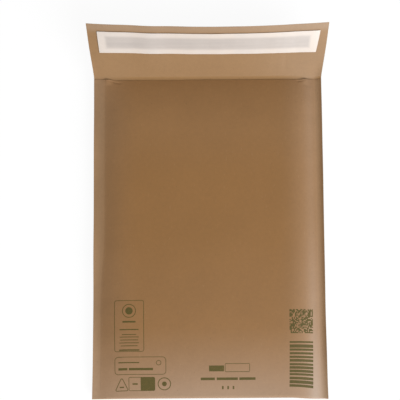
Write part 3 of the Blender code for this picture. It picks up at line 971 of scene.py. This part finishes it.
def ink_plate(context, x, v, closed=False):
    """A plate of ink over a grid of places, whose columns are turned round if it would face in."""
    s, r, _, p, _ = settings(context)
    du = np.gradient(x, axis=0) * np.gradient(v, axis=1) - np.gradient(v, axis=0) * np.gradient(x, axis=1)
    if du.sum() < 0:
        x, v = x[:, ::-1], v[:, ::-1]
    return slab(on_front(s, r, x, v, p.ink_lift), on_front(s, r, x, v, p.ink_sink), closed)


def bar(context, left, right, bottom, top):
    """A filled rectangle of ink, in squares of about the print's step."""
    x = spaced((left, right, PRINT_STEP))[:, None]
    v = spaced((bottom, top, PRINT_STEP))[None, :]
    return ink_plate(context, x + 0 * v, v + 0 * x)


def disc(context, x, v, radius, inner):
    """A disc or ring of ink: rows run round it and columns from the inner to the outer radius."""
    turn = np.linspace(0, FULL_TURN, 41)[:-1, None]
    out = np.linspace(inner, radius, 4 if inner < radius / 2 else 2)[None, :]
    return ink_plate(context, x + out * np.cos(turn), v + out * np.sin(turn), closed=True)


def side_points(start, end):
    """Points about the outlines' step apart between two ends, without the ends."""
    count = max(1, round((end - start).length / OUTLINE_STEP))
    return [start.lerp(end, k / count) for k in range(1, count)]


def outline(context, corners, radius, width):
    """A line of ink round a polygon, whose corners are arcs that touch both of their sides.

    Corners are listed anticlockwise. Each point of the line is set off to both sides along its normal.
    """
    corners = [Vector(corner) for corner in corners]
    points = []
    for k, corner in enumerate(corners):
        to_before = (corners[k - 1] - corner).normalized()
        to_after = (corners[(k + 1) % len(corners)] - corner).normalized()
        half = to_before.angle(to_after) / 2
        middle = corner + (to_before + to_after).normalized() * (radius / math.sin(half))
        first = corner + to_before * (radius / math.tan(half)) - middle
        arc = [middle + Matrix.Rotation((math.pi - 2 * half) * t / 4, 2) @ first for t in range(5)]
        points += (side_points(points[-1], arc[0]) if points else []) + arc
    points += side_points(points[-1], points[0])
    line = np.array([tuple(point) for point in points])
    way = np.roll(line, -1, axis=0) - np.roll(line, 1, axis=0)
    off = np.column_stack([-way[:, 1], way[:, 0]]) / np.linalg.norm(way, axis=1, keepdims=True) * width / 2
    x, v = np.moveaxis(np.stack([line - off, line + off], axis=1), 2, 0)
    return ink_plate(context, x, v, closed=True)


def marks(context, left, bars=(), boxes=(), rings=()):
    """Plates of ink, with x counted from a left edge.

    Bars are (left, right, bottom, top), outlined boxes have the radius of their corners as well, and rings
    are (x, v, outer radius, inner radius).
    """
    width = context.scene.envelope_print.stroke
    plates = [bar(context, left + x0, left + x1, v0, v1) for x0, x1, v0, v1 in bars]
    for x0, x1, v0, v1, radius in boxes:
        corners = ((left + x0, v0), (left + x1, v0), (left + x1, v1), (left + x0, v1))
        plates.append(outline(context, corners, radius, width))
    return plates + [disc(context, left + x, v, radius, inner) for x, v, radius, inner in rings]


# The bars in the tall box: how far each is under its upper edge, its width and its height
TALL_BARS = (
    (0.0180, 0.0110, 0.0014), (0.0246, 0.0160, 0.0009), (0.0288, 0.0120, 0.0006), (0.0309, 0.0160, 0.0006),
    (0.0334, 0.0150, 0.0006), (0.0359, 0.0165, 0.0006), (0.0384, 0.0140, 0.0006), (0.0420, 0.0170, 0.0011),
)
# The inner radius of a filled disc
POINT = 0.0001


def left_marks(context):
    """Two outlined boxes with plain bars in them, and a row of three plain signs."""
    p = context.scene.envelope_print
    centre, disc_v = p.tall_width / 2, p.tall_top - 0.0088
    low, high = p.icon_bottom, p.icon_top
    level, inset = (low + high) / 2, p.stroke / 2
    under, over = p.wide_bottom + 0.0036, p.wide_bottom + 0.0056
    bars = [
        (centre - wide / 2, centre + wide / 2, p.tall_top - down - thick / 2, p.tall_top - down + thick / 2)
        for down, wide, thick in TALL_BARS
    ]
    bars += [(0.0030, 0.0205, p.wide_top - 0.0052, p.wide_top - 0.0043), (0.0030, 0.0105, under, over)]
    bars += [(0.0118, 0.0320, under, over), (0.0038, 0.0074, low + 0.0026, low + 0.0036)]
    bars += [(p.sign_split, p.sign_right - inset, low + inset, high - inset)]
    bars += [(p.sign_left + 0.0030, p.sign_split - 0.0025, level - 0.0006, level + 0.0006)]
    boxes = (
        (0.0, p.tall_width, p.tall_bottom, p.tall_top, 0.0016),
        (0.0, p.wide_width, p.wide_bottom, p.wide_top, 0.0028),
        (p.sign_left, p.sign_right, low, high, 0.0012),
    )
    rings = (
        (centre, disc_v, 0.0058, 0.0052), (centre, disc_v, 0.0031, POINT),
        (p.wide_width - 0.0060, p.wide_top - 0.0050, 0.0022, 0.0017),
        (0.0414, level, 0.0056, 0.0049), (0.0414, level, 0.0020, POINT),
    )
    triangle = ((p.left_edge, low), (p.left_edge + 0.0112, low), (p.left_edge + 0.0056, high))
    sign = outline(context, triangle, 0.0009, p.stroke * 1.3)
    return [*marks(context, p.left_edge, bars, boxes, rings), sign]


def middle_marks(context):
    """A solid bar beside an outlined one, with a broken line and three small squares under them."""
    p = context.scene.envelope_print
    bars = [(0.0070, 0.0195, 0.0204, 0.0254)]
    words = ((0.0, 0.0118), (0.0134, 0.0311), (0.0324, p.middle_width))
    bars += [(start, end, 0.0128, 0.0150) for start, end in words]
    bars += [(0.0178 + 0.0045 * k, 0.0191 + 0.0045 * k, 0.0048, 0.0076) for k in range(3)]
    return marks(context, p.middle_left, bars, [(0.0205, 0.0410, 0.0200, 0.0270, 0.0008)])


def code_marks(context):
    """A square of random blocks and a stack of random bars, which stand for no real code."""
    p = context.scene.envelope_print
    rng = np.random.default_rng(p.seed)
    size = p.code_width / p.code_cells
    bars = []
    for row in range(p.code_cells):
        top = p.code_top - row * size
        filled = np.concatenate([[False], rng.random(p.code_cells) < p.code_fill, [False]])
        starts = np.flatnonzero(~filled[:-1] & filled[1:])
        ends = np.flatnonzero(filled[:-1] & ~filled[1:])
        bars += [(start * size, end * size, top - size, top) for start, end in zip(starts, ends)]
    v = p.bars_bottom
    while v < p.bars_top:
        top = min(v + rng.choice([0.0018, 0.0022, 0.0027]), p.bars_top)
        bars.append((0.0, p.code_width, v, top))
        v = top + rng.choice([0.0008, 0.0010, 0.0013])
    return marks(context, p.code_left, bars)


# Operators


class ENVELOPE_OT_wrap(bpy.types.Operator):
    """Make the outer kraft sheet: front, bottom fold, back and flap in one"""

    bl_idname = "envelope.wrap"
    bl_label = "Outer wrap"

    def execute(self, context):
        s, r, c, _, _ = settings(context)
        columns = wrap_columns(s, 0.0)
        rows = front_rows(s, s.front_short)
        edge = s.body_length - s.front_short
        past_edge = spaced((edge, s.body_length, CURL_STEP))[1:]
        back_rows = np.concatenate([coarse_rows(s, s.front_short), past_edge])
        grid, at = folded(s, r, columns, rows, lambda x, v: s.wrap_sheet / 2, back_rows)
        part = across(s, columns, np.array([[s.body_length]])) / float(half_width(s, s.body_length))
        along = spaced((0.0, 0.006, CURL_STEP), (0.006, s.flap_length, FLAP_STEP))[1:, None]
        grid = np.concatenate([grid, flap(s, r, part, along, 0.0)])
        at = np.concatenate([at, at[-1] + along[:, 0]])[:, None]

        x = grid[..., 0]
        off_side = np.minimum(np.abs(x - x[:, :1]), np.abs(x - x[:, -1:]))
        off_fold = at - at[len(rows) + TURN_ROWS // 2]
        lines = ((off_fold, FOLD_WEAR), (off_side, SIDE_WEAR), (at, FRONT_WEAR), (at[-1] - at, FLAP_WEAR))
        worn = sum(amount * bell(off, width) for off, (amount, width) in lines)
        v_flap = np.full(len(along), s.body_length)
        v = np.concatenate([rows[::-1], np.zeros(TURN_ROWS), back_rows, v_flap])[:, None]
        on_body = at < at[-1] - s.flap_length
        # The seams' pressed tone, which also paints some sheen on the flanges
        pressed = smooth_step((seam_line(s, x, v) - off_side) / SEAM_SOFT + 0.5) * on_body
        up_flap = np.concatenate([0 * v[: -len(along)], along])
        # The pale mask from the sheen function is painted sheen, standing in for the soft box's reflection
        values = {"worn": np.clip(worn, 0, 1), "pressed": pressed, "painted_sheen": painted_sheen(s, x, v, up_flap)}
        sheet_piece("kraft_wrap", grid, s.wrap_sheet, kraft_material(c), "outer_wrap", values)
        return {"FINISHED"}


class ENVELOPE_OT_padding(bpy.types.Operator):
    """Make the fluted web between the wrap and the liner"""

    bl_idname = "envelope.padding"
    bl_label = "Fluted padding"

    def execute(self, context):
        s, r, c, _, _ = settings(context)
        steps = STEPS_PER_FLUTE * round((s.body_width - 2 * s.seam_width) / s.flute_pitch)
        t = np.linspace(-1.0, 1.0, steps + 1)
        columns = (t, -t * (s.seam_width + s.pad_side_inset))
        wave = (1 - np.cos(FULL_TURN * np.arange(steps + 1) / STEPS_PER_FLUTE)) / 2

        def depth_in(x, v):
            """From the wrap's inner face, in a cosine wave over the room that the web has."""
            room = pad_space(s, x, v) - 2 * s.layer_gap - s.pad_sheet
            return s.wrap_sheet + s.layer_gap + s.pad_sheet / 2 + room * wave

        rows = coarse_rows(s, s.pad_mouth_inset)
        grid, _ = folded(s, r, columns, rows, depth_in, rows)
        finish = plain_paper_material("padding paper", c.padding, 0.8)
        made = sheet_piece("padding_web", grid, s.pad_sheet, finish, "fluted_padding")
        return {"FINISHED"}


class ENVELOPE_OT_liner(bpy.types.Operator):
    """Make the inner sheet, glued into the side seams"""

    bl_idname = "envelope.liner"
    bl_label = "Inner liner"

    def execute(self, context):
        s, r, c, _, _ = settings(context)

        def depth_in(x, v):
            """Under the wrap and the padding's room."""
            return s.wrap_sheet + pad_space(s, x, v) + s.liner_sheet / 2

        columns, rows = wrap_columns(s, s.liner_side_inset), front_rows(s, s.liner_mouth_inset)
        grid, _ = folded(s, r, columns, rows, depth_in, coarse_rows(s, s.liner_mouth_inset))
        finish = plain_paper_material("liner paper", c.liner, 0.7)
        sheet_piece("liner_sheet", grid, s.liner_sheet, finish, "inner_liner")
        return {"FINISHED"}


class ENVELOPE_OT_seam_glue(bpy.types.Operator):
    """Make the bead of glue in each side seam"""

    bl_idname = "envelope.seam_glue"
    bl_label = "Seam glue"

    def execute(self, context):
        s, r, c, _, _ = settings(context)
        finish = glue_material("seam glue", c.glue, 0.5)
        v = spaced((s.seam_glue_end, s.body_length - s.seam_glue_end, GLUE_STEP))[::-1, None]
        off = np.linspace(-0.5, 0.5, 5)[None, :] * s.seam_glue_width
        for hand, side in (("left", -1), ("right", 1)):
            x = side * (half_width(s, v) - s.seam_width / 2) + off
            y = panel(s, r, x, v, 0.0, -1)[..., 1]
            grid = np.stack(np.broadcast_arrays(x, y, middle_height(s, r, x, v)), axis=-1)
            sheet_piece(f"{hand}_glue_bead", grid, s.seam_glue, finish, f"{hand}_seam_glue")
        return {"FINISHED"}


class ENVELOPE_OT_closure(bpy.types.Operator):
    """Make the adhesive on the flap and the release strip over it"""

    bl_idname = "envelope.closure"
    bl_label = "Adhesive and release strip"

    def execute(self, context):
        s, r, c, _, _ = settings(context)
        half = float(half_width(s, s.body_length))
        top = s.flap_length - s.strip_edge
        band_top = top - s.adhesive_edge
        band_bottom = band_top - s.adhesive_width
        left, right = -half + s.strip_side_left, half - s.strip_side_right
        band_left, band_right = left + s.adhesive_side, right - s.strip_end_slant - s.adhesive_side

        lift = s.wrap_sheet / 2 + s.layer_gap + s.adhesive_thickness / 2
        along = spaced((band_bottom, band_top, ADHESIVE_STEPS[0]))[::-1, None]
        x = spaced((band_left, band_right, ADHESIVE_STEPS[1]))[None, :]
        grid = flap(s, r, x / half + 0 * along, along, lift)
        finish = glue_material("flap adhesive", c.adhesive, 0.35)
        sheet_piece("adhesive_band", grid, s.adhesive_thickness, finish, "flap_adhesive")

        lift = lift + s.adhesive_thickness / 2 + s.layer_gap + s.strip_sheet / 2
        along = spaced((top - s.strip_width, top, STRIP_STEPS[0]))[::-1, None]
        end = right - s.strip_end_slant * (top - along) / s.strip_width
        x = left + (end - left) * spaced((0.0, 1.0, STRIP_STEPS[1] / (right - left)))[None, :]
        wave = np.clip(hills(x, 0.5 * along, STRIP_WAVE_LENGTH, STRIP_SEED), -1.0, 2.0)
        grid = flap(s, r, x / half, along + 0 * x, lift + STRIP_WAVE * (1 + wave))
        inside = np.minimum(along - band_bottom, band_top - along)
        inside = np.minimum(inside, np.minimum(x - band_left, band_right - x))
        values = {"band": smooth_step(0.5 + inside / BAND_SOFT)}
        finish, slot = release_material(c), "release_paper"
        sheet_piece("release_paper_strip", grid, s.strip_sheet, finish, "release_strip", values)
        return {"FINISHED"}


class ENVELOPE_OT_ink(bpy.types.Operator):
    """Print the plain marks on the front"""

    bl_idname = "envelope.ink"
    bl_label = "Print"

    def execute(self, context):
        finish = ink_material(context.scene.envelope_colours)
        for name, drawn in (("left", left_marks), ("middle", middle_marks), ("code", code_marks)):
            mesh_piece(f"{name}_print", drawn(context), finish)
        return {"FINISHED"}


class ENVELOPE_OT_studio(bpy.types.Operator):
    """Set the floor, the backdrop, the light and the camera"""

    bl_idname = "envelope.studio"
    bl_label = "Studio"

    def execute(self, context):
        scene, st = context.scene, context.scene.envelope_studio
        mesh = bpy.data.meshes.new("floor")
        ways = ((-1, -1), (1, -1), (1, 1), (-1, 1))
        corners = [(FLOOR_REACH * x, FLOOR_REACH * y, -FLOOR_DROP) for x, y in ways]
        mesh.from_pydata(corners, [], [(0, 1, 2, 3)])
        mesh.materials.append(floor_material())
        put("floor", mesh)
        set_world(scene, st.fill)

        towards = Vector(st.key_direction).normalized()
        lamp = bpy.data.lights.new("soft box", "AREA")
        lamp.shape = "SQUARE"
        lamp.size = st.key_size
        lamp.energy = st.key_power
        key = put("soft box", lamp)
        key.location = towards * st.key_distance
        key.rotation_euler = towards.to_track_quat("Z", "Y").to_euler()
        key.visible_camera = False

        view = bpy.data.cameras.new("camera")
        view.lens = st.lens
        view.sensor_width = 36.0
        view.clip_start = 0.01
        scene.camera = put("camera", view)
        turned = Matrix.Rotation(st.camera_tilt, 4, "X") @ Matrix.Rotation(-st.camera_roll, 4, "Z")
        scene.camera.matrix_world = Matrix.Translation(st.camera_place) @ turned
        scene.view_settings.view_transform = "Standard"
        return {"FINISHED"}


class ENVELOPE_PT_panel(bpy.types.Panel):
    """Lists the envelope's pieces in the sidebar"""

    bl_idname = "ENVELOPE_PT_panel"
    bl_label = "Padded envelope"
    bl_space_type = "VIEW_3D"
    bl_region_type = "UI"
    bl_category = "Envelope"

    def draw(self, context):
        for operator in OPERATORS:
            self.layout.operator(operator.bl_idname)
        for group in PROPERTY_GROUPS:
            box = self.layout.box()
            box.label(text=group)
            settings = getattr(context.scene, group)
            for name in type(settings).__annotations__:
                box.prop(settings, name)


OPERATORS = (
    ENVELOPE_OT_wrap,
    ENVELOPE_OT_padding,
    ENVELOPE_OT_liner,
    ENVELOPE_OT_seam_glue,
    ENVELOPE_OT_closure,
    ENVELOPE_OT_ink,
    ENVELOPE_OT_studio,
)
PROPERTY_GROUPS = {
    "envelope_sizes": EnvelopeSizes,
    "envelope_relief": EnvelopeRelief,
    "envelope_colours": EnvelopeColours,
    "envelope_print": EnvelopePrint,
    "envelope_studio": EnvelopeStudio,
}


def settings(context):
    """The scene's groups of settings: sizes, relief, colours, print and studio."""
    return [getattr(context.scene, group) for group in PROPERTY_GROUPS]


def register():
    """Registers the settings, the operators and the panel."""
    for name, group in PROPERTY_GROUPS.items():
        bpy.utils.register_class(group)
        setattr(bpy.types.Scene, name, PointerProperty(type=group))
    for made in (*OPERATORS, ENVELOPE_PT_panel):
        bpy.utils.register_class(made)


def unregister():
    """Takes out again what register put in."""
    for made in reversed((*OPERATORS, ENVELOPE_PT_panel)):
        bpy.utils.unregister_class(made)
    for name, group in reversed(PROPERTY_GROUPS.items()):
        delattr(bpy.types.Scene, name)
        bpy.utils.unregister_class(group)


def main():
    """Makes every piece and the stage."""
    register()
    for operator in OPERATORS:
        group, name = operator.bl_idname.split(".")
        getattr(getattr(bpy.ops, group), name)()


if __name__ == "__main__":
    main()
